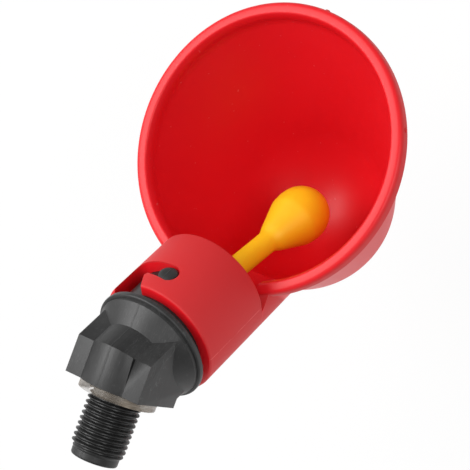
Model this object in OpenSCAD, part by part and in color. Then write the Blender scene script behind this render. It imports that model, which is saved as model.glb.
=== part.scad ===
// Drinking cup for poultry: a deep bowl on a slanted socket, held by a bayonet on a 45 degree valve elbow.
// Origin: centre of the sealing washer's outer face, where the water pipe's wall comes.
// +Z is up, the inlet thread points along -X and the bowl stands out along +X. Lengths in millimetres.

/* [Bowl] */
// Outer diameter of the rolled rim
rim_d = 55; // [48:0.5:64]
// Width of the rolled rim, seen from above
rim_w = 2.4; // [1.8:0.1:3.2]
// Height of the rolled rim
rim_h = 3; // [2:0.1:4.5]
// Depth of the bevel inside the rim
rim_bevel = 1.1; // [0.6:0.1:1.3]
// How far the rim stands out past the bowl's outer wall
rim_lip = 1.15; // [0.6:0.05:1.6]
// Depth of the bowl's outer bottom below the rim
bowl_depth = 38.7; // [34:0.1:46]
// Outer radius of the ball-shaped bottom
bowl_ball_r = 18.55; // [16:0.05:20]
// How far the bottom lies towards the valve from the rim's centre
bowl_back = 5.8; // [3:0.1:8]
// Wall thickness of the bowl
bowl_wall = 1.8; // [1.2:0.1:2.4]

/* [Socket] */
// Length of the socket from its mouth over the bowl to its open end
socket_len = 16; // [14:0.1:20]
// Outer diameter of the socket
socket_d = 23.2; // [22.4:0.1:26]
// Radial clearance between the socket and the spigot inside it
spigot_fit = 0.08; // [0.04:0.01:0.1]
// How far the rim's edge laps behind the centre of the socket's mouth
rim_lap = 0.3; // [0:0.1:1]
// How far the rim plane lies below the centre of the socket's mouth
rim_drop = 0.2; // [0:0.1:1]
// Edge radius at the socket's two ends
socket_edge = 0.4; // [0.2:0.1:0.6]

/* [Bayonet] */
// Diameter of the bayonet pin
pin_d = 3.6; // [3:0.1:4.2]
// Distance of the pin from the socket's open end
pin_back = 5.05; // [4.6:0.05:5.6]
// Height of the pin above the spigot
pin_rise = 2.2; // [1.6:0.05:2.2]
// Clearance round the pin in its slot
slot_gap = 0.25; // [0.15:0.05:0.4]
// Width of the slot's mouth, from the pin's middle to its far wall
slot_reach = 8.8; // [8.2:0.1:9.4]
// Height of the hook's point beside the pin
hook_reach = 3.7; // [3:0.1:4.2]
// Width of the hook at the socket's open end
hook_foot = 1.9; // [1:0.1:2.6]
// Tip radius of the hook
hook_tip_r = 0.9; // [0.5:0.1:1.2]

/* [Valve body] */
// Angle between the inlet thread and the socket
elbow_deg = 45; // [40:1:50]
// Distance from the washer's outer face to the point where the two axes cross
elbow_x = 5.9; // [5.6:0.1:8]
// Distance from that point to the socket's mouth over the bowl
elbow_reach = 24.6; // [24:0.1:30]
// Diameter of the round hub
hub_d = 15.3; // [14.6:0.1:16]
// Width across the two spanner wings
wing_w = 16; // [15.4:0.1:18]
// Height of the two spanner wings
wing_h = 12.2; // [10:0.1:13]
// Distance along the socket's axis where the collar cone leaves the hub
cone_start = 2.2; // [1.8:0.1:3]
// Diameter of the collar cone at its wide end
cone_d = 21.2; // [20:0.1:22]
// Diameter of the collar's flange
flange_d = 22.5; // [21:0.1:23]
// Thickness of the collar's flange
flange_t = 1.1; // [0.8:0.1:1.6]
// Gap between the flange and the socket's open end
flange_gap = 1.6; // [0.8:0.1:2]
// Length of the spigot inside the socket
spigot_in = 11.4; // [10.4:0.1:12.5]
// Wall thickness of the spigot
spigot_wall = 2; // [1.6:0.1:2.4]

/* [Inlet] */
// Major diameter of the inlet thread
thread_d = 9.85; // [9.5:0.05:10]
// Pitch of the thread
pitch = 1; // [0.8:0.05:1.25]
// Depth of the thread
thread_depth = 0.58; // [0.4:0.02:0.62]
// Length of the threaded part past the washer
thread_len = 9.6; // [8:0.1:14]
// Length of the plain lead at the thread's tip
lead_len = 2; // [1.2:0.1:3]
// Tip diameter of the lead
lead_d = 8.6; // [8:0.1:9]
// Diameter of the water bore
bore_d = 5; // [4:0.1:5.6]

/* [Washer] */
// Outer diameter of the sealing washer
washer_d = 14.3; // [13:0.1:15]
// Thickness of the sealing washer
washer_t = 1.6; // [1:0.1:2]
// Clearance of the washer round the thread
washer_gap = 0.2; // [0.1:0.05:0.4]

/* [Valve] */
// Distance from the elbow to the centre of the valve pin's ball
ball_at = 8.2; // [7.8:0.1:9]
// Diameter of the valve pin's ball
ball_d = 6.8; // [6:0.1:7.2]
// Diameter of the valve pin's stem
stem_d = 2; // [1.6:0.1:2.4]
// Thickness of the rubber seat
seat_t = 2.2; // [1.8:0.1:2.6]
// How far the ball's centre lies behind the rubber seat
seat_back = 1.2; // [1:0.1:1.6]
// Clearance between the ball and its seat
seat_gap = 0.05; // [0.02:0.01:0.09]
// How much wider the water way is where it turns
turn_room = 1; // [0.6:0.1:2]
// Width of the valve chamber
chamber_d = 9.2; // [8.4:0.1:10]
// Length of the bush that holds the seat
bush_len = 6; // [4:0.1:7]
// Opening of the bush
bush_bore = 8.4; // [7.6:0.1:9]
// Wire diameter of the return spring
wire_d = 0.5; // [0.4:0.05:0.6]
// Number of turns of the return spring
spring_turns = 5; // [4:1:7]

/* [Trigger] */
// Diameter of the peg's stem
peg_d = 4.3; // [3.6:0.1:4.7]
// Diameter of the peg's tail, inside the socket
tail_d = 4.8; // [4.2:0.1:5.4]
// Widest diameter of the peg's bulb
bulb_d = 11.1; // [9:0.1:12]
// Distance from the socket's mouth to the start of the flare
flare_at = 16; // [14:0.1:18]
// Length of the flare up to the bulb's widest place
flare_len = 10.6; // [9:0.1:12]
// Height of the bulb's domed end
dome_h = 5.9; // [4:0.1:6.5]
// Where the peg starts, past the rubber seat
peg_back = 1.4; // [1.1:0.1:2]
// Depth of the valve pin in the peg
peg_socket = 7; // [5:0.1:8]
// How far the peg leans down from the socket's axis, in degrees
lean_down = 2.5; // [0:0.1:4]
// How far the peg leans sideways, in degrees
lean_side = 3.6; // [0:0.1:5]

/* [Hidden] */
$fn = 96;
eps = 0.01;

hub_r = hub_d / 2;
socket_r = socket_d / 2;
flange_r = flange_d / 2;
pin_r = pin_d / 2;
thread_r = thread_d / 2;
chamber_r = chamber_d / 2;
bush_gap = 0.02;                                  // the seat and its bush are pushed in with no play to speak of
spring_play = 0.02;                               // the spring only just touches what it presses on

// Distances along the socket's axis, counted from the elbow
mouth_at = elbow_reach;                           // the socket's mouth over the bowl
socket_end = mouth_at - socket_len;               // the socket's open end
flange_face = socket_end - flange_gap;            // the flange's face towards the cup
flange_back = flange_face - flange_t;
spigot_end = socket_end + spigot_in;
pin_at = socket_end + pin_back;

// The spigot's outside follows the pin's top, which is nearly flush with the socket
pin_top = socket_r - 0.1;
spigot_r = pin_top - pin_rise;
socket_bore_r = spigot_r + spigot_fit;
spigot_bore_r = spigot_r - spigot_wall;

// The valve's parts follow the ball
seat_at = ball_at + seat_back;
seat_face = seat_at + seat_t;
bush_end = seat_face + bush_len;
ball_r = ball_d / 2;
seat_hole_r = stem_d / 2 + 0.9;                   // leaves the stem room to swing
spring_at = 1;                                    // the chamber's floor, just past the elbow
peg_at = seat_face + peg_back;
lean_at = spigot_end - 0.4;                       // where the peg starts to lean

// Centre of the rim, from the centre of the socket's mouth
tilt = 90 + elbow_deg;
mouth_x = elbow_x + mouth_at * sin(tilt);
mouth_z = mouth_at * cos(tilt);
rim_x = mouth_x + rim_d / 2 - rim_lap;
rim_z = mouth_z - rim_drop;
ball_z = bowl_ball_r - bowl_depth;                // centre of the bowl's ball, from the rim
socket_run = (rim_x - bowl_back - mouth_x) / sin(tilt);   // on past the mouth, until it is over that centre

// Puts children on the socket's axis: +Z runs into the cup and +X is up
module on_socket(at = 0) {
    translate([elbow_x, 0, 0]) rotate([0, tilt, 0]) rotate([0, 0, 180]) translate([0, 0, at]) children();
}

// Puts children on the thread's axis: +Z runs along +X, towards the elbow
module on_thread(at = 0) {
    translate([at, 0, 0]) rotate([0, 90, 0]) children();
}

// A ring of rectangular section with a rounded outer edge at both ends
module soft_tube(r, len, edge) {
    rotate_extrude() union() {
        square([r - edge, len]);
        translate([0, edge]) square([r, len - 2 * edge]);
        for (z = [edge, len - edge]) translate([r - edge, z]) circle(edge, $fn = 32);
    }
}

// Smooth bowl-shaped body, from a short round neck in the rim down to half a ball; inset makes the inside
module bowl_form(inset, top) {
    neck_z = -rim_h + 0.4;
    hull() {
        translate([0, 0, neck_z]) cylinder(r = rim_d / 2 - rim_lip - inset, h = top - neck_z, $fn = 80);
        translate([-bowl_back, 0, ball_z]) intersection() {
            sphere(r = bowl_ball_r - inset, $fn = 64);
            translate([0, 0, -bowl_ball_r]) cube(2 * bowl_ball_r, center = true);
        }
    }
}

// Rolled rim, with a bevel that leads into the bowl
module rim_bead() {
    edge = rim_h * 0.33;
    rim_r = rim_d / 2;
    inner_r = rim_r - rim_lip - bowl_wall;
    sunk = 1;                                     // runs into the hollow, which is cut afterwards
    lip_z = -0.15;
    slope = (rim_bevel + lip_z) / (rim_r - rim_w - inner_r);
    rotate_extrude() union() {
        polygon([
            [inner_r - sunk, -rim_h],
            [rim_r - edge, -rim_h],
            [rim_r - edge, 0],
            [rim_r - rim_w - lip_z, 0],
            [rim_r - rim_w, lip_z],
            [inner_r - sunk, -rim_bevel - sunk * slope]
        ]);
        translate([rim_r - 2 * edge, edge - rim_h]) square([2 * edge, rim_h - 2 * edge]);
        for (z = [-edge, edge - rim_h]) translate([rim_r - edge, z]) circle(edge, $fn = 32);
    }
}

// Outline of the bayonet slot, X along the socket from the pin towards the open end, Y round it
module slot_outline() {
    near = -pin_r - slot_gap;
    far = pin_r + slot_gap;
    corner = 2.3;
    circle(pin_r + slot_gap);
    difference() {
        union() {
            translate([near, -slot_gap]) square([pin_back - near + 1, slot_reach + slot_gap - corner]);
            translate([near + corner, 0]) square([pin_back - near - corner + 1, slot_reach]);
            translate([near + corner, slot_reach - corner]) circle(corner);
        }
        hook_outline(far - 0.1);
    }
}

module hook_outline(far) {
    tip_y = hook_reach - hook_tip_r;
    union() {
        translate([far + hook_tip_r, tip_y]) circle(hook_tip_r);
        polygon([
            [far, -1],
            [far, tip_y],
            [far + hook_tip_r, hook_reach],
            [pin_back, hook_foot],
            [pin_back + 2, hook_foot - 1.2],
            [pin_back + 2, -1]
        ]);
    }
}

module cup() {
    color("crimson") difference() {
        union() {
            translate([rim_x, 0, rim_z]) {
                bowl_form(0, -rim_h / 2);
                rim_bead();
            }
            on_socket(socket_end) soft_tube(socket_r, socket_len, socket_edge);
            socket_root();
            for (a = [-4, -66]) rim_nub(a);
        }
        translate([rim_x, 0, rim_z]) bowl_form(bowl_wall, 1);
        on_socket(socket_end - 1) cylinder(r = socket_bore_r, h = 1 + socket_len + socket_run);
        on_socket() bayonet_slot();
    }
}

// Lower part of the socket, which runs on below the rim into the bowl
module socket_root() {
    intersection() {
        on_socket(mouth_at - 1) cylinder(r = socket_r, h = socket_run + 1);
        translate([0, -socket_r - 1, rim_z - 60]) cube([rim_x, socket_d + 2, 60 - rim_h / 2]);
    }
}

module bayonet_slot() {
    translate([spigot_r / 2, 0, pin_at]) rotate([0, 90, 0]) mirror([0, 1, 0])
        linear_extrude(socket_r) slot_outline();
}

// Small stub of a moulding gate on the rim
module rim_nub(a) {
    translate([rim_x, 0, rim_z - rim_h / 2]) rotate([0, 0, a])
        translate([rim_d / 2 - 0.3, 0, 0]) rotate([0, 90, 0]) cylinder(d = 0.9, h = 0.55, $fn = 24);
}

// Clips children to the elbow's side where the thread is, or to the cup's side
module mitre(side) {
    far = 60;
    intersection() {
        children();
        translate([elbow_x, 0, 0]) rotate([0, elbow_deg / 2, 0])
            translate([side < 0 ? -far : 0, -far / 2, -far / 2]) cube(far);
    }
}

// The grip's first leg, on the thread's axis, up to the mitre where it turns to the socket's axis
module grip() {
    mitre(-1) on_thread(washer_t) union() {
        cylinder(r = hub_r, h = elbow_x - washer_t + hub_d);
        translate([-wing_h / 2, -wing_w / 2, 0]) cube([wing_h, wing_w, elbow_x - washer_t + hub_d]);
    }
}

// The second leg with its wings, cone, flange and spigot, on the socket's axis
module collar() {
    wing_end = flange_back - 0.6;
    rounding = flange_t * 0.3;
    mitre(1) on_socket() union() {
        rotate_extrude() polygon([
            [0, -hub_d],
            [hub_r, -hub_d],
            [hub_r, cone_start],
            [cone_d / 2, wing_end],
            [cone_d / 2, flange_back],
            [flange_r - rounding, flange_back],
            [flange_r, flange_back + rounding],
            [flange_r, flange_face - rounding],
            [flange_r - rounding, flange_face],
            [spigot_r, flange_face],
            [spigot_r, spigot_end - 0.5],
            [spigot_r - 0.5, spigot_end],
            [0, spigot_end]
        ]);
        translate([-wing_h / 2, -wing_w / 2, -hub_d]) cube([wing_h, wing_w, hub_d + wing_end]);
    }
    on_socket(pin_at) rotate([0, 90, 0]) cylinder(r = pin_r, h = pin_top);
}

// Section of the threaded shank, from the grip to the tip: a neck in the washer, ridges and a plain lead
module thread_section() {
    root_r = thread_r - thread_depth;
    crest = pitch / 8;
    flank = pitch * 0.35;
    turns = floor((thread_len - crest) / pitch);
    sunk = washer_t + 1;                          // runs into the grip
    edge = 0.4;
    polygon(concat(
        [[0, -sunk], [root_r, -sunk], [root_r, 0], [thread_r, 0], [thread_r, crest / 2]],
        [for (i = [1 : turns]) each [
            [root_r, (i - 1) * pitch + crest / 2 + flank],
            [root_r, i * pitch - crest / 2 - flank],
            [thread_r, i * pitch - crest / 2],
            [thread_r, i * pitch + crest / 2]
        ]],
        [
            [root_r + 0.1, turns * pitch + crest / 2 + flank],
            [lead_d / 2 + edge / 2, thread_len + lead_len - 2 * edge],
            [lead_d / 2 - edge, thread_len + lead_len],
            [0, thread_len + lead_len]
        ]
    ));
}

module valve_body() {
    color([0.13, 0.13, 0.13]) difference() {
        union() {
            grip();
            collar();
            rotate([0, -90, 0]) rotate_extrude() thread_section();
        }
        on_thread(-thread_len - lead_len - 1) cylinder(d = bore_d, h = thread_len + lead_len + 1 + elbow_x);
        translate([elbow_x, 0, 0]) sphere(d = bore_d + turn_room);
        on_socket() {
            cylinder(d = bore_d, h = spring_at + 1);
            translate([0, 0, spring_at]) cylinder(r = chamber_r, h = seat_at);
            translate([0, 0, seat_at]) cylinder(r = spigot_bore_r, h = spigot_end);
        }
    }
}

module sealing_washer() {
    color([0.82, 0.79, 0.74]) on_thread() difference() {
        cylinder(d = washer_d, h = washer_t);
        translate([0, 0, -1]) cylinder(r = thread_r + washer_gap, h = washer_t + 2);
    }
}

// Rubber seat, hollowed to the ball
module valve_seat() {
    color([0.2, 0.2, 0.22]) on_socket() difference() {
        translate([0, 0, seat_at]) cylinder(r = spigot_bore_r - bush_gap, h = seat_t);
        translate([0, 0, ball_at]) sphere(r = ball_r + seat_gap);
        translate([0, 0, seat_at]) cylinder(r = seat_hole_r, h = seat_t + 1);
    }
}

module seat_bush() {
    color([0.85, 0.84, 0.8]) on_socket(seat_face) difference() {
        cylinder(r = spigot_bore_r - bush_gap, h = bush_len);
        translate([0, 0, -1]) cylinder(d = bush_bore, h = bush_len + 2);
    }
}

// A point on the wire's skin: t turns up the coil and at the angle a round the wire
function coil_point(t, a, r, low, high) =
    let (ring = r + wire_d / 2 * cos(a))
    [ring * cos(360 * t), ring * sin(360 * t), low + (high - low) * t / spring_turns + wire_d / 2 * sin(a)];

// Coil spring of round wire between the chamber's floor and the ball
module return_spring() {
    sides = 8;
    steps = 20;
    rings = steps * spring_turns;
    coil_r = ball_r * 0.72;
    wire_r = wire_d / 2;
    low = spring_at + wire_r + spring_play;
    high = ball_at - sqrt(pow(ball_r + wire_r + spring_play, 2) - coil_r * coil_r);
    points = [
        for (i = [0 : rings]) for (j = [0 : sides - 1])
            coil_point(i / steps, 360 * j / sides, coil_r, low, high)
    ];
    walls = [
        for (i = [0 : rings - 1]) for (j = [0 : sides - 1])
            let (k = (j + 1) % sides)
            each [
                [i * sides + j, i * sides + k, (i + 1) * sides + k],
                [i * sides + j, (i + 1) * sides + k, (i + 1) * sides + j]
            ]
    ];
    caps = [[for (j = [sides - 1 : -1 : 0]) j], [for (j = [0 : sides - 1]) rings * sides + j]];
    color("silver") on_socket() polyhedron(points, concat(walls, caps));
}

// Steel pin with a ball head, which rocks in the seat
module valve_pin() {
    color([0.75, 0.75, 0.78]) on_socket(ball_at) {
        sphere(r = ball_r);
        cylinder(d = stem_d, h = peg_at + peg_socket - ball_at);
    }
}

// Pear-shaped peg: a plain tail on the valve pin, then the leaning stem and bulb
module trigger_peg() {
    flare = mouth_at - lean_at + flare_at;
    color([0.98, 0.74, 0.13]) on_socket() difference() {
        union() {
            translate([0, 0, peg_at]) cylinder(d = tail_d, h = lean_at - peg_at);
            translate([0, 0, lean_at]) rotate([-lean_side, 0, 0]) rotate([0, -lean_down, 0])
                rotate_extrude() pear_section(flare);
        }
        translate([0, 0, peg_at - 1]) cylinder(d = stem_d, h = peg_socket + 1);
    }
}

// Half outline of the stem, flare and bulb, with the swell worked out from the named sizes
module pear_section(flare) {
    steps = 14;
    neck = peg_d / 2;
    swell = bulb_d / 2 - neck;
    sunk = 1;
    polygon(concat(
        [[0, -sunk], [neck, -sunk]],
        [for (i = [0 : steps]) let (t = i / steps) [neck + swell * pear_curve(t), flare + flare_len * t]],
        [for (i = [1 : steps]) let (a = 90 * i / steps)
            [i == steps ? 0 : bulb_d / 2 * cos(a), flare + flare_len + dome_h * sin(a)]]
    ));
}

function pear_curve(t) = t < 0.75 ? 0.93 * t / 0.75 : 1 - 0.07 * pow((1 - t) / 0.25, 2);

cup();
valve_body();
sealing_washer();
valve_seat();
seat_bush();
return_spring();
valve_pin();
trigger_peg();
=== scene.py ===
import math

import bpy
from mathutils import Matrix, Vector


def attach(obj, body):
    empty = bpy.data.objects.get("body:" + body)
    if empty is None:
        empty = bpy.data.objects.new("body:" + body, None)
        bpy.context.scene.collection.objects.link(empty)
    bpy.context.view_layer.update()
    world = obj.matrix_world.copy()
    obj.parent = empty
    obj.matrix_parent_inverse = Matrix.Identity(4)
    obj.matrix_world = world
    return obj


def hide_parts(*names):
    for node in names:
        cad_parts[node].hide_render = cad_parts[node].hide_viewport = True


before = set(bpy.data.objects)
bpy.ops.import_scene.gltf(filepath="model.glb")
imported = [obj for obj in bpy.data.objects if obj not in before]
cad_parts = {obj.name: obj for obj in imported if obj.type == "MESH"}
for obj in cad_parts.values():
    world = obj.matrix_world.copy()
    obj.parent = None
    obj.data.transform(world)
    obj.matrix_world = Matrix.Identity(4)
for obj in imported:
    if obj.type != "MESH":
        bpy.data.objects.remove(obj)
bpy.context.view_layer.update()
bpy.ops.object.select_all(action="DESELECT")

mm = 0.001
halfRight = math.sqrt(0.5)

# The socket's own place: X is up out of its top, Y is towards -Y of the row, Z runs into the cup
elbowX = 5.9
socketPlace = Matrix((
    (halfRight, 0, halfRight, elbowX * mm),
    (0, -1, 0, 0),
    (halfRight, 0, -halfRight, 0),
    (0, 0, 0, 1),
))
threadPlace = Matrix(((0, 0, -1, 0), (0, 1, 0, 0), (1, 0, 0, 0), (0, 0, 0, 1)))    # Z runs out along -X
rimCentre = (50.495, 0, -17.595)


# Small tools

def activate(piece):
    bpy.ops.object.select_all(action="DESELECT")
    piece.select_set(True)
    bpy.context.view_layer.objects.active = piece


def edit(piece, select=True):
    activate(piece)
    bpy.ops.object.mode_set(mode="EDIT")
    bpy.ops.mesh.select_all(action="SELECT" if select else "DESELECT")


def objectMode():
    bpy.ops.object.mode_set(mode="OBJECT")


def settle(piece, place=None):    # puts the place into the mesh and leaves the object at the origin
    activate(piece)
    bpy.ops.object.transform_apply(location=True, rotation=True, scale=True)
    if place is not None:
        piece.data.transform(place)
    piece.data.update()


def closeUp(piece, gap=0.00001):    # merges doubles and points the faces outwards
    edit(piece)
    bpy.ops.mesh.remove_doubles(threshold=gap)
    bpy.ops.mesh.normals_make_consistent(inside=False)
    objectMode()


def turned(name, profile, sides=96, place=None):    # a lathe shape, ring by ring up its axis
    r0, z0 = profile[0]
    bpy.ops.mesh.primitive_circle_add(vertices=sides, radius=r0 * mm, fill_type="NGON", location=(0, 0, z0 * mm))
    piece = bpy.context.object
    piece.name = name
    edit(piece)
    for (rA, zA), (r, z) in zip(profile, profile[1:]):
        bpy.ops.mesh.extrude_region_move(TRANSFORM_OT_translate={"value": (0, 0, (z - zA) * mm)})
        if abs(r - rA) > 1e-6:
            bpy.ops.transform.resize(value=(r / rA, r / rA, 1), center_override=(0, 0, z * mm))
    objectMode()
    settle(piece)
    closeUp(piece)
    if place is not None:
        settle(piece, place)
    return piece


def wrapped(name, rows, columns, pointAt, place=None):    # a grid laid over a closed form
    bpy.ops.mesh.primitive_grid_add(x_subdivisions=columns, y_subdivisions=rows, size=1)
    piece = bpy.context.object
    piece.name = name
    for v in piece.data.vertices:
        v.co = Vector(pointAt(v.co.x + 0.5, v.co.y + 0.5)) * mm
    settle(piece)
    closeUp(piece)
    if place is not None:
        settle(piece, place)
    return piece


def block(name, low, high, place=None):
    size = [b - a for a, b in zip(low, high)]
    middle = [(a + b) / 2 * mm for a, b in zip(low, high)]
    bpy.ops.mesh.primitive_cube_add(size=1, location=middle, scale=[s * mm for s in size])
    piece = bpy.context.object
    piece.name = name
    settle(piece, place)
    return piece


def plate(name, outline, thick, place):    # an outline pulled up to a thickness
    bpy.ops.mesh.primitive_circle_add(vertices=len(outline), radius=1, fill_type="NGON")
    piece = bpy.context.object
    piece.name = name
    for v, (x, y) in zip(piece.data.vertices, outline):
        v.co = (x * mm, y * mm, 0)
    edit(piece)
    bpy.ops.mesh.extrude_region_move(TRANSFORM_OT_translate={"value": (0, 0, thick * mm)})
    objectMode()
    settle(piece, place)
    closeUp(piece)
    return piece


def combine(piece, other, how):    # exact boolean, and the other piece is used up
    activate(piece)
    tool = piece.modifiers.new("cut", "BOOLEAN")
    tool.operation = how
    tool.object = other
    tool.solver = "EXACT"
    bpy.ops.object.modifier_apply(modifier=tool.name)
    bpy.data.objects.remove(other, do_unlink=True)
    return piece


def softenEdges(piece, width, keep, angle=32, segments=2):    # bevels the sharp edges that keep(middle) allows
    mesh = piece.data
    edit(piece, select=False)
    bpy.ops.mesh.select_mode(type="EDGE")
    bpy.ops.mesh.edges_select_sharp(sharpness=math.radians(angle))
    objectMode()
    for e in mesh.edges:
        if e.select:
            a, b = (mesh.vertices[i].co for i in e.vertices)
            e.select = keep((a + b) / 2 / mm)
    bpy.ops.object.mode_set(mode="EDIT")
    bpy.ops.mesh.bevel(offset=width * mm, segments=segments, profile=0.6, affect="EDGES", clamp_overlap=True)
    bpy.ops.mesh.select_mode(type="VERT")
    objectMode()


def smooth(piece, angle=32):
    activate(piece)
    bpy.ops.object.shade_smooth_by_angle(angle=math.radians(angle))


def arc(cx, cy, r, start, end, steps):
    return [(cx + r * math.cos(math.radians(start + (end - start) * i / steps)),
             cy + r * math.sin(math.radians(start + (end - start) * i / steps))) for i in range(steps + 1)]


# Shader sums

class Sum:    # a socket that can be added, multiplied and so on
    def __init__(self, mat, socket):
        self.mat, self.socket = mat, socket

    def maths(self, operation, *others):
        return self.mat.node("ShaderNodeMath", {"operation": operation}, {0: self, **{i + 1: o for i, o in enumerate(others)}})

    def __add__(self, other): return self.maths("ADD", other)
    def __radd__(self, other): return self.maths("ADD", other)
    def __sub__(self, other): return self.maths("SUBTRACT", other)
    def __rsub__(self, other): return self.mat.node("ShaderNodeMath", {"operation": "SUBTRACT"}, {0: other, 1: self})
    def __mul__(self, other): return self.maths("MULTIPLY", other)
    def __rmul__(self, other): return self.maths("MULTIPLY", other)
    def __truediv__(self, other): return self.maths("DIVIDE", other)
    def __abs__(self): return self.maths("ABSOLUTE")
    def power(self, other): return self.maths("POWER", other)
    def least(self, other): return self.maths("MINIMUM", other)
    def most(self, other): return self.maths("MAXIMUM", other)

    def between(self, low, high):    # 0 below low, 1 above high, smooth in between
        return self.mat.node("ShaderNodeMapRange", {"interpolation_type": "SMOOTHSTEP"},
                             {"Value": self, "From Min": low, "From Max": high})


class Finish:
    def __init__(self, name):
        self.material = bpy.data.materials.new(name)
        self.material.use_nodes = True
        self.tree = self.material.node_tree
        self.shader = self.tree.nodes["Principled BSDF"]
        self.place = self.tree.nodes.new("ShaderNodeTexCoord").outputs["Object"]
        split = self.tree.nodes.new("ShaderNodeSeparateXYZ")
        self.tree.links.new(self.place, split.inputs[0])
        self.x, self.y, self.z = (Sum(self, split.outputs[i]) for i in range(3))

    def node(self, kind, settings, values, output=0):
        made = self.tree.nodes.new(kind)
        for key, value in settings.items():
            if key == "stops":
                ramp = made.color_ramp
                while len(ramp.elements) < len(value):
                    ramp.elements.new(0.5)
                for element, (at, colour) in zip(ramp.elements, value):
                    element.position = at
                    element.color = (*colour, 1)
            else:
                setattr(made, key, value)
        for key, value in values.items():
            self.feed(made.inputs[key], value)
        return Sum(self, made.outputs[output])

    def feed(self, socket, value):
        if isinstance(value, Sum):
            self.tree.links.new(value.socket, socket)
        elif isinstance(value, (tuple, list)) and socket.type == "RGBA":
            socket.default_value = (*value, 1)[:4]
        else:
            socket.default_value = value

    def set(self, **values):
        for key, value in values.items():
            self.feed(self.shader.inputs[key.replace("_", " ")], value)

    def grain(self, scale, detail=3, rough=0.55, stretch=None):    # noise from 0 to 1
        where = Sum(self, self.place)
        if stretch:
            where = self.node("ShaderNodeMapping", {}, {"Vector": where, "Scale": stretch})
        return self.node("ShaderNodeTexNoise", {}, {"Vector": where, "Scale": scale, "Detail": detail, "Roughness": rough})

    def blend(self, mask, first, second):
        made = self.tree.nodes.new("ShaderNodeMix")
        made.data_type = "RGBA"
        self.feed(made.inputs["Factor"], mask)
        colours = [s for s in made.inputs if s.type == "RGBA"]
        self.feed(colours[0], first)
        self.feed(colours[1], second)
        return Sum(self, [s for s in made.outputs if s.type == "RGBA"][0])

    def relief(self, height, depth, strength=1.0, under=None):    # height from 0 to 1, depth in metres
        values = {"Height": height, "Distance": depth, "Strength": strength}
        if under is not None:
            values["Normal"] = under
        return self.node("ShaderNodeBump", {}, values)


def dress(piece, finish):
    piece.data.materials.clear()
    piece.data.materials.append(finish.material)


# The cup

cupSizes = {
    "rimR": 27.5, "rimWidth": 2.4, "rimHeight": 3.0, "neckOuter": 26.35, "neckInner": 24.55,
    "ballR": 18.55, "ballBack": 5.8, "ballZ": -20.15, "wall": 1.8,
    "socketR": 11.6, "socketBore": 9.38, "socketEnd": 8.6, "mouth": 24.6, "runOn": 30.26,
    "columns": 144, "wallRows": 26, "ballRows": 22, "nubAngles": (-4, -66),
}


def bowlPoint(inset, around, down):    # down 0..1 along the wall from the neck, 1..2 over the ball to its pole
    c = cupSizes
    topR = c["neckOuter"] - inset
    ballR = c["ballR"] - inset
    topZ = -2.6
    dx, dz = c["ballBack"], topZ - c["ballZ"]
    low, high = -0.5, 1.45
    for _ in range(40):    # the slope at which the wall leaves the neck and just touches the ball
        a = (low + high) / 2
        lead = (topR + dx * math.cos(around)) * math.cos(a) - dz * math.sin(a) - ballR
        if lead > 0:
            low = a
        else:
            high = a
    if down <= 1:
        start = Vector((topR * math.cos(around), topR * math.sin(around), topZ))
        n = Vector((math.cos(a) * math.cos(around), math.cos(a) * math.sin(around), -math.sin(a)))
        end = Vector((-c["ballBack"], 0, c["ballZ"])) + n * ballR
        return start.lerp(end, down)
    tilt = a + (math.pi / 2 - a) * (down - 1)
    n = Vector((math.cos(tilt) * math.cos(around), math.cos(tilt) * math.sin(around), -math.sin(tilt)))
    return Vector((-c["ballBack"], 0, c["ballZ"])) + n * ballR


def rimProfile():    # from the outer neck over the rolled rim to the inner neck
    c = cupSizes
    R, h = c["rimR"], c["rimHeight"]
    return ([(c["neckOuter"] + 0.02, -h - 0.15), (c["neckOuter"] + 0.12, -h - 0.02)]
            + arc(R - 0.85, -h + 0.85, 0.85, -80, 0, 6) + arc(R - 0.95, -0.95, 0.95, 0, 90, 7)
            + arc(R - c["rimWidth"] + 0.5, -0.5, 0.5, 90, 150, 4)
            + [(24.85, -0.85), (24.68, -1.3), (24.58, -1.9)])


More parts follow.
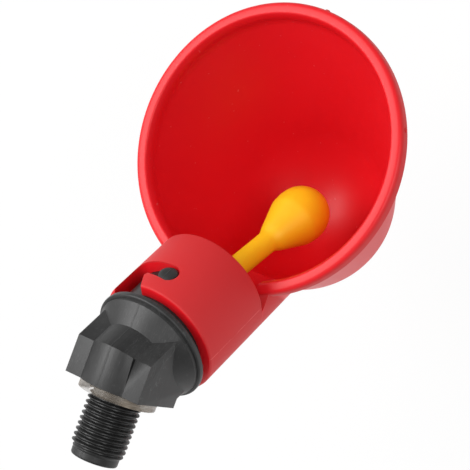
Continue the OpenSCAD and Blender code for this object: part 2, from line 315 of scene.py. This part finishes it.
def makeCup():
    c = cupSizes
    rim = rimProfile()
    rows = []
    for i in range(c["ballRows"] + 1):
        rows.append(("bowl", 0, 2 - i / c["ballRows"]))
    for i in range(1, c["wallRows"] + 1):
        rows.append(("bowl", 0, 1 - i / c["wallRows"]))
    rows[-1] = ("bowl", 0, 0.03)
    rows += [("rim", r, z) for r, z in rim]
    for i in range(c["wallRows"] + 1):
        rows.append(("bowl", c["wall"], i / c["wallRows"]))
    for i in range(1, c["ballRows"] + 1):
        rows.append(("bowl", c["wall"], 1 + i / c["ballRows"]))

    def shellPoint(u, v):
        around = 2 * math.pi * (1 - u)
        kind, a, b = rows[round(v * (len(rows) - 1))]
        p = bowlPoint(a, around, b) if kind == "bowl" else Vector((a * math.cos(around), a * math.sin(around), b))
        return p + Vector(rimCentre)

    shell = wrapped("cup", len(rows) - 1, c["columns"], shellPoint)

    # the hollow as a solid, which trims the socket inside the bowl
    hollowRows = [("neck", 1.0, 0), ("neck", 1.0, 1), ("neck", -1.9, 1)]
    hollowRows += [("bowl", 0, i / 12) for i in range(13)] + [("bowl", 0, 1 + i / 16) for i in range(1, 17)]

    def hollowPoint(u, v):
        around = 2 * math.pi * u
        kind, a, b = hollowRows[round(v * (len(hollowRows) - 1))]
        if kind == "neck":
            p = Vector((c["neckInner"] * b * math.cos(around), c["neckInner"] * b * math.sin(around), a))
        else:
            p = bowlPoint(c["wall"] + 0.03, around, b)
        return p + Vector(rimCentre)

    hollow = wrapped("hollow", len(hollowRows) - 1, c["columns"], hollowPoint)

    # the socket, with rounded ends, and its lower part that runs on under the rim
    R, e = c["socketR"], 0.45
    socket = turned("socket", arc(R - e, c["socketEnd"] + e, e, -90, 0, 4)
                    + arc(R - e, c["mouth"] - e, e, 0, 90, 4), 128, socketPlace)
    root = turned("root", [(R, c["mouth"] - 1), (R, c["mouth"] + c["runOn"])], 128, socketPlace)
    under = block("under", (0, -14, -80), (50, 14, rimCentre[2] - 0.4))
    rimPlace = Matrix.Translation([v * mm for v in rimCentre])
    combine(under, turned("inside", [(c["rimR"] - 1.3, -1.5), (c["rimR"] - 1.3, 1)], 144, rimPlace), "DIFFERENCE")
    combine(root, under, "INTERSECT")
    combine(socket, root, "UNION")
    combine(socket, hollow, "DIFFERENCE")
    combine(shell, socket, "UNION")
    bore = turned("bore", [(c["socketBore"], c["socketEnd"] - 1), (c["socketBore"], c["mouth"] + c["runOn"] - 1)], 128, socketPlace)
    combine(shell, bore, "DIFFERENCE")
    combine(shell, makeSlot(), "DIFFERENCE")
    for angle in c["nubAngles"]:    # stubs of the moulding gates
        place = (Matrix.Translation([v * mm for v in rimCentre]) @ Matrix.Rotation(math.radians(angle), 4, "Z")
                 @ Matrix.Translation((0, 0, -c["rimHeight"] / 2 * mm)) @ Matrix.Rotation(math.radians(90), 4, "Y"))
        nub = turned("nub", [(0.45, c["rimR"] - 0.6), (0.45, c["rimR"] + 0.1), (0.3, c["rimR"] + 0.2)], 20, place)
        combine(shell, nub, "UNION")
    return shell


slotSizes = {
    "pinR": 1.8, "pinBack": 5.05, "gap": 0.25, "reach": 8.8, "corner": 2.3,
    "hookReach": 3.75, "hookTip": 0.55, "hookBulge": 0.3, "hookFoot": 2.2, "depth": 9,
}


def makeSlot():    # X runs to the open end, Y round the socket towards +Y
    s = slotSizes
    near = -s["pinR"] - s["gap"]
    out = s["pinBack"] + 1.5
    tipY = s["hookReach"] - s["hookTip"]
    pocket = arc(0, 0, s["pinR"] + s["gap"], -19, -172, 18)    # round the pin's far side
    hook = arc(s["pinR"] - s["hookBulge"] + s["hookTip"], tipY, s["hookTip"], 68, 185, 8)    # its tip holds the pin back
    arch = arc(near + s["corner"], s["reach"] - s["corner"], s["corner"], 180, 90, 8)
    outline = (pocket + [(near, s["reach"] - s["corner"])] + arch[1:]
               + [(out, s["reach"]), (out, s["hookFoot"] - 0.5), (s["pinBack"], s["hookFoot"])] + hook)
    place = socketPlace @ Matrix.Translation((4 * mm, 0, (cupSizes["socketEnd"] + s["pinBack"]) * mm))
    turn = Matrix(((0, 0, 1, 0), (0, -1, 0, 0), (-1, 0, 0, 0), (0, 0, 0, 1)))    # outline X to -Z, outline Y to the row's +Y
    return plate("slot", outline, s["depth"], place @ turn)


print("modelling the cup")
cup = makeCup()
print("cup faces", len(cup.data.polygons))


# The valve body

bodySizes = {
    "hubR": 7.65, "wingWide": 8.0, "wingHigh": 6.1, "gripFace": 1.6,
    "coneStart": 2.2, "coneR": 10.6, "flangeR": 11.25, "flangeBack": 5.9, "flangeFace": 7.0,
    "spigotR": 9.3, "spigotEnd": 20.0, "pinR": 1.8, "pinTop": 11.5, "pinAt": 13.65,
    "edge": 0.28,
}


def makeValveBody():
    b = bodySizes
    mitre = Matrix.Translation((elbowX * mm, 0, 0)) @ Matrix.Rotation(math.radians(22.5), 4, "Y")
    along = Matrix(((0, 0, 1, 0), (0, 1, 0, 0), (-1, 0, 0, 0), (0, 0, 0, 1)))    # Z along +X
    legA = turned("valve_body", [(b["hubR"], b["gripFace"]), (b["hubR"], 24)], 96, along)
    combine(legA, block("wings", (-b["wingHigh"], -b["wingWide"], b["gripFace"]), (b["wingHigh"], b["wingWide"], 24), along), "UNION")
    combine(legA, block("half", (-40, -20, -20), (0.0, 20, 20), mitre), "INTERSECT")

    wingEnd = b["flangeBack"] - 0.6
    fr, ff, fb = b["flangeR"], b["flangeFace"], b["flangeBack"]
    legB = turned("legB", [(b["hubR"], -18), (b["hubR"], b["coneStart"]), (b["coneR"], wingEnd), (b["coneR"] + 0.05, fb)]
                  + arc(fr - 0.3, fb + 0.3, 0.3, -80, 0, 3) + arc(fr - 0.3, ff - 0.3, 0.3, 0, 85, 3)
                  + [(b["spigotR"] + 0.25, ff), (b["spigotR"], ff + 0.25), (b["spigotR"], b["spigotEnd"] - 0.5),
                     (b["spigotR"] - 0.5, b["spigotEnd"])], 128, socketPlace)
    combine(legB, block("wings", (-b["wingHigh"], -b["wingWide"], -18), (b["wingHigh"], b["wingWide"], wingEnd), socketPlace), "UNION")
    combine(legB, block("half", (0.0, -20, -20), (60, 20, 20), mitre), "INTERSECT")
    combine(legA, legB, "UNION")
    edit(legA)
    bpy.ops.mesh.remove_doubles(threshold=0.00002)
    bpy.ops.mesh.dissolve_limited(angle_limit=math.radians(0.3))
    objectMode()
    softenEdges(legA, b["edge"], lambda p: p.x > 0.5 and (p.x - elbowX) * halfRight - p.z * halfRight < wingEnd + 0.2, 18, 2)

    pin = turned("pin", [(b["pinR"], 8), (b["pinR"], b["pinTop"] - 0.5), (b["pinR"] - 0.12, b["pinTop"] - 0.25),
                         (b["pinR"] - 0.4, b["pinTop"] - 0.08), (b["pinR"] - 0.9, b["pinTop"])], 40,
                 socketPlace @ Matrix.Translation((0, 0, b["pinAt"] * mm)) @ Matrix.Rotation(math.radians(90), 4, "Y"))
    combine(legA, pin, "UNION")
    combine(legA, makeThread(), "UNION")
    # water way and chamber
    combine(legA, turned("bore", [(2.5, -8), (2.5, 12.6)], 48, threadPlace), "DIFFERENCE")
    combine(legA, turned("chamber", [(4.6, 1), (4.6, 9.4), (7.3, 9.41), (7.3, 22)], 64, socketPlace), "DIFFERENCE")
    return legA


threadSizes = {"crestR": 4.925, "rootR": 4.345, "pitch": 1.0, "threaded": 9.6, "tip": 11.6, "tipR": 4.3, "rowsPerPitch": 10, "columns": 96}


def makeThread():    # a true helix: the ridge's height follows the turn
    t = threadSizes
    start, end = -3.0, t["tip"]
    rows = int((end - start) * t["rowsPerPitch"] / t["pitch"])

    def ridge(z, turn):    # 0 in the root, 1 on the crest
        phase = ((z / t["pitch"] - turn) % 1.0)
        gap = abs(phase - 0.5) * 2
        return min(1.0, max(0.0, (gap - 0.2) / 0.62))

    def radius(z, turn):
        full = t["rootR"] + (t["crestR"] - t["rootR"]) * ridge(z, turn)
        inner = min(1, max(0, z / 0.3))    # plain neck in the washer
        outer = min(1, max(0, (z - t["threaded"] + 0.2) / 0.8))
        lead = t["rootR"] + (t["tipR"] - t["rootR"]) * min(1, max(0, (z - t["threaded"]) / (t["tip"] - t["threaded"])))
        r = t["rootR"] + (full - t["rootR"]) * inner
        r = r + (lead - r) * outer
        left = t["tip"] - z
        return r - (0.4 - math.sqrt(max(0, 0.16 - (0.4 - left) ** 2)) if left < 0.4 else 0)

    def threadPoint(u, v):
        z = start + (end - start) * min(1, max(0, (v * (rows + 4) - 2) / rows))
        turn = u
        if v < 0.5 / (rows + 4) or v > 1 - 0.5 / (rows + 4):
            r = 0.0
        else:
            r = radius(z, turn)
        return (r * math.cos(2 * math.pi * turn), r * math.sin(2 * math.pi * turn), z)

    return wrapped("thread", rows + 4, t["columns"], threadPoint, threadPlace)


print("modelling the valve body")
valveBody = makeValveBody()
print("valve body faces", len(valveBody.data.polygons))


# The trigger peg

pegSizes = {
    "tailR": 2.4, "tailStart": 13.0, "leanAt": 19.6, "stemR": 2.15, "flareAt": 16.0, "flareLength": 10.6,
    "bulbR": 5.55, "dome": 5.9, "leanDown": 2.5, "leanSide": 3.6, "sides": 64,
}


def makePeg():
    p = pegSizes
    flare = cupSizes["mouth"] - p["leanAt"] + p["flareAt"]
    swell = p["bulbR"] - p["stemR"]
    steps = 22
    profile = [(p["stemR"], -0.8)] + [(p["stemR"], flare * i / 6) for i in range(6)]
    for i in range(steps + 1):
        t = i / steps
        rise = 0.93 * t / 0.75 if t < 0.75 else 1 - 0.07 * ((1 - t) / 0.25) ** 2
        soft = min(1, t / 0.16)
        profile.append((p["stemR"] + swell * rise * (0.35 + 0.65 * soft) if t < 0.16 else p["stemR"] + swell * rise, flare + p["flareLength"] * t))
    for i in range(1, 15):
        a = math.radians(90 * i / 15)
        profile.append((p["bulbR"] * math.cos(a), flare + p["flareLength"] + p["dome"] * math.sin(a)))
    lean = (Matrix.Translation((0, 0, p["leanAt"] * mm)) @ Matrix.Rotation(math.radians(-p["leanSide"]), 4, "X")
            @ Matrix.Rotation(math.radians(-p["leanDown"]), 4, "Y"))
    peg = turned("trigger_peg", profile, p["sides"], socketPlace @ lean)
    tail = turned("tail", [(p["tailR"] - 0.2, p["tailStart"]), (p["tailR"], p["tailStart"] + 0.2),
                           (p["tailR"], p["leanAt"] - 0.3), (p["tailR"] - 0.3, p["leanAt"])], 48, socketPlace)
    return combine(peg, tail, "UNION")


print("modelling the trigger peg")
peg = makePeg()


# The washer

washerSizes = {"outerR": 7.15, "innerR": 5.125, "thick": 1.6, "edge": 0.22}


def makeWasher():
    w = washerSizes
    along = Matrix(((0, 0, 1, 0), (0, 1, 0, 0), (-1, 0, 0, 0), (0, 0, 0, 1)))
    e = w["edge"]
    ring = turned("sealing_washer", arc(w["outerR"] - e, e, e, -90, 0, 4) + arc(w["outerR"] - e, w["thick"] - e, e, 0, 90, 4), 96, along)
    hole = turned("hole", [(w["innerR"], -1), (w["innerR"], w["thick"] + 1)], 96, along)
    return combine(ring, hole, "DIFFERENCE")


print("modelling the washer")
washer = makeWasher()
print("finishes")


# Finishes

def redPlastic():    # unpolished outside and on the socket, soft gloss inside, with a painted highlight along the socket's parting line
    f = Finish("cupPlastic")
    d = (f.x - elbowX * mm) * halfRight - f.z * halfRight    # distance along the socket
    inSocket = (1 - d.between(0.0243, 0.0249)) * (1 - (f.x - 0.031).between(0, 0.004))
    cloud = f.grain(60, 2)
    fine = f.grain(2600, 2)
    across = (f.x - elbowX * mm) * halfRight + f.z * halfRight    # height over the socket's axis
    skin = (across * across + f.y * f.y).between(0.000127, 0.000131)    # the outer surface of the socket
    fromRim = (f.x - rimCentre[0] * mm) * (f.x - rimCentre[0] * mm) + f.y * f.y
    dull = (skin * inSocket).most(fromRim.between(0.000725, 0.000762) * (1 - inSocket))
    # the socket's parting line: its ridge is in the relief, and its lighter colour is a painted highlight
    seam = (1 - abs(across).between(0.00003, 0.00016)) * inSocket * abs(f.y).between(0.011, 0.0113)
    speck = f.grain(1300, 1).between(0.74, 0.8) * (1 - inSocket)
    colour = f.blend(cloud.between(0.35, 0.7) * 0.3, (0.70, 0.007, 0.013), (0.74, 0.010, 0.017))
    colour = f.blend(speck * 0.35, colour, (0.80, 0.25, 0.25))
    # unpolished red, with the parting line painted lighter as a painted highlight
    mattWithSeamHighlight = f.blend((seam * f.grain(500, 2).between(0.35, 0.6)) * 0.5, (0.59, 0.023, 0.026), (0.82, 0.15, 0.15))
    f.set(Base_Color=f.blend(dull, colour, mattWithSeamHighlight), Roughness=0.38 + dull * 0.2, Specular_IOR_Level=0.3)
    f.set(Subsurface_Weight=0.2, Subsurface_Scale=0.0025)
    f.shader.inputs["Subsurface Radius"].default_value = (1.0, 0.2, 0.15)
    f.set(Normal=f.relief(seam, 0.00006, 0.5, f.relief(fine, 0.000006, 0.2)))
    return f


def blackPlastic():    # satin, with a parting line, scuffs and a few scratches
    f = Finish("bodyPlastic")
    cloud = f.grain(180, 4)
    fine = f.grain(2400, 2)
    scuff = f.grain(900, 4, 0.6, (1, 3, 1)).between(0.62, 0.7)
    scratch = f.grain(260, 2, 0.5, (1, 9, 2))
    line = (1 - abs(scratch - 0.5).between(0.004, 0.012)) * f.grain(90, 1).between(0.5, 0.62)
    inlet = 1 - (f.x + 0.001).between(0, 0.001)    # the thread keeps the darkest tone, without the cloudy variation
    colour = f.blend(cloud.between(0.3, 0.75) * (1 - inlet), (0.010, 0.010, 0.010), (0.024, 0.024, 0.024))
    seam = 1 - abs(f.y).between(0.00008, 0.00018)
    f.set(Base_Color=f.blend((scuff * 0.2).most(line * 0.3), colour, (0.12, 0.12, 0.12)), Roughness=0.4 + 0.1 * cloud + 0.1 * scuff)
    f.set(Normal=f.relief(seam, 0.00007, 0.5, f.relief(fine, 0.00001, 0.25)))
    return f


def yellowPlastic():
    f = Finish("pegPlastic")
    cloud = f.grain(150, 2)
    colour = f.blend(cloud.between(0.3, 0.7), (0.86, 0.49, 0.006), (0.90, 0.54, 0.009))
    f.set(Base_Color=colour, Roughness=0.48, Specular_IOR_Level=0.35)
    f.set(Subsurface_Weight=0.15, Subsurface_Scale=0.0015)
    f.shader.inputs["Subsurface Radius"].default_value = (1.0, 0.6, 0.1)
    f.set(Normal=f.relief(f.grain(1800, 2), 0.000008, 0.2))
    return f


def washerRubber():    # pale and see-through, with a beige fibre grain
    f = Finish("washerRubber")
    cloud = f.grain(300, 3)
    fibre = f.grain(700, 3, 0.6, (6, 1, 1))
    colour = f.blend(fibre.between(0.35, 0.65), (0.19, 0.155, 0.12), (0.30, 0.255, 0.205))
    f.set(Base_Color=colour, Roughness=0.25 + 0.1 * cloud,
          Alpha=0.24 + 0.14 * cloud.between(0.35, 0.7) + 0.5 * abs(f.y).between(0.0035, 0.0058))
    f.set(Normal=f.relief(f.grain(1200, 2), 0.00003, 0.3))
    return f


def steel():
    f = Finish("pinSteel")
    f.set(Base_Color=f.blend(f.grain(400, 3), (0.55, 0.55, 0.56), (0.66, 0.66, 0.67)), Metallic=1.0, Roughness=0.22 + 0.1 * f.grain(900, 2))
    return f


def paleBush():
    f = Finish("bushPlastic")
    f.set(Base_Color=f.blend(f.grain(200, 3), (0.62, 0.61, 0.56), (0.70, 0.69, 0.64)), Roughness=0.42 + 0.1 * f.grain(800, 2))
    return f


def seatRubber():
    f = Finish("seatRubber")
    f.set(Base_Color=f.blend(f.grain(300, 3), (0.02, 0.02, 0.022), (0.035, 0.035, 0.037)), Roughness=0.6 + 0.15 * f.grain(900, 2))
    return f


finishes = {"cup": redPlastic(), "body": blackPlastic(), "peg": yellowPlastic(), "washer": washerRubber(),
            "steel": steel(), "bush": paleBush(), "seat": seatRubber()}

for piece, key, slot, body, node, angle in (
    (cup, "cup", "cup_plastic", "bowl", "cup", 30),
    (valveBody, "body", "body_plastic", "valve", "valve_body", 25),
    (peg, "peg", "peg_plastic", "trigger", "trigger_peg", 40),
    (washer, "washer", "washer_rubber", "valve", "sealing_washer", 40),
):
    dress(piece, finishes[key])
    smooth(piece, angle)
    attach(piece, body)
    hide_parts(node)

for node, key in (("valve_seat", "seat"), ("seat_bush", "bush"), ("return_spring", "steel"), ("valve_pin", "steel")):
    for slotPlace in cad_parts[node].material_slots:
        slotPlace.material = finishes[key].material


# Floor, lights and camera

studio = {
    "floorZ": -0.085, "floorSize": 3.0,
    "softBox": (-0.06, 0.62, 0.78), "softFrom": 0.3, "softTo": 0.95, "worldLow": 0.3, "worldHigh": 1.1,
    "lamps": [
        ("key", (0.02, 0.33, 0.55), 0.42, 2.6),
        ("front", (0.1, -0.45, 0.5), 0.35, 1.7),
    ],
}


def makeStudio():
    bpy.ops.mesh.primitive_plane_add(size=studio["floorSize"], location=(0, 0, studio["floorZ"]))
    floor = bpy.context.object
    floor.name = "floor"
    f = Finish("floorPaper")
    path = f.tree.nodes.new("ShaderNodeLightPath")
    seen = Sum(f, path.outputs["Is Camera Ray"])
    glow = f.tree.nodes.new("ShaderNodeEmission")
    glow.inputs["Color"].default_value = (1, 1, 1, 1)
    mixer = f.tree.nodes.new("ShaderNodeMixShader")
    f.set(Base_Color=(0.8, 0.8, 0.8), Roughness=0.9)
    f.feed(mixer.inputs[0], seen * 0.93)
    f.tree.links.new(f.shader.outputs[0], mixer.inputs[1])
    f.tree.links.new(glow.outputs[0], mixer.inputs[2])
    f.tree.links.new(mixer.outputs[0], f.tree.nodes["Material Output"].inputs["Surface"])
    floor.data.materials.append(f.material)

    world = bpy.data.worlds.new("studio")
    world.use_nodes = True
    bpy.context.scene.world = world
    tree = world.node_tree
    back = tree.nodes["Background"]
    back.inputs["Color"].default_value = (1, 1, 1, 1)
    path = tree.nodes.new("ShaderNodeLightPath")
    where = tree.nodes.new("ShaderNodeTexCoord")
    towards = tree.nodes.new("ShaderNodeVectorMath")    # 1 towards the soft box, -1 away from it
    towards.operation = "DOT_PRODUCT"
    towards.inputs[1].default_value = Vector(studio["softBox"]).normalized()
    tree.links.new(where.outputs["Generated"], towards.inputs[0])
    glow = tree.nodes.new("ShaderNodeMapRange")
    glow.interpolation_type = "SMOOTHSTEP"
    for key, value in (("From Min", studio["softFrom"]), ("From Max", studio["softTo"]),
                       ("To Min", studio["worldLow"]), ("To Max", studio["worldHigh"])):
        glow.inputs[key].default_value = value
    tree.links.new(towards.outputs["Value"], glow.inputs["Value"])
    pick = tree.nodes.new("ShaderNodeMapRange")
    pick.inputs["To Max"].default_value = 1.0
    tree.links.new(glow.outputs[0], pick.inputs["To Min"])
    tree.links.new(path.outputs["Is Camera Ray"], pick.inputs["Value"])
    tree.links.new(pick.outputs[0], back.inputs["Strength"])

    for name, at, size, power in studio["lamps"]:
        bpy.ops.object.light_add(type="AREA", location=at)
        lamp = bpy.context.object
        lamp.name = name
        lamp.data.shape = "DISK"
        lamp.data.size = size
        lamp.data.energy = power
        lamp.rotation_euler = (Vector((0.035, 0, -0.02)) - Vector(at)).to_track_quat("-Z", "Y").to_euler()


cameraSizes = {
    "at": (43.38, -145.46, 238.16), "right": (0.3491, -0.8071, -0.4762), "up": (0.9352, 0.3322, 0.1224),
    "pixels": 1600.0, "frame": 470, "middle": (225.75, 275.79),
}


def makeCamera():    # looks along the ray through the photograph's middle, so it needs no shift
    c = cameraSizes
    right, up = Vector(c["right"]).normalized(), Vector(c["up"]).normalized()
    back = right.cross(up)
    half = c["frame"] / 2
    ahead = (-back * c["pixels"] + right * (half - c["middle"][0]) - up * (half - c["middle"][1])).normalized()
    newRight = (right - ahead * right.dot(ahead)).normalized()
    newUp = newRight.cross(ahead)
    bpy.ops.object.camera_add(location=[v * mm for v in c["at"]])
    camera = bpy.context.object
    turn = Matrix((newRight, newUp, -ahead)).transposed()
    camera.rotation_euler = turn.to_euler()
    camera.data.sensor_width = 36
    camera.data.lens = c["pixels"] * 36 / c["frame"]
    camera.data.clip_start = 0.01
    bpy.context.scene.camera = camera


makeStudio()
makeCamera()
bpy.context.scene.view_settings.view_transform = "Standard"
print("studio ready")
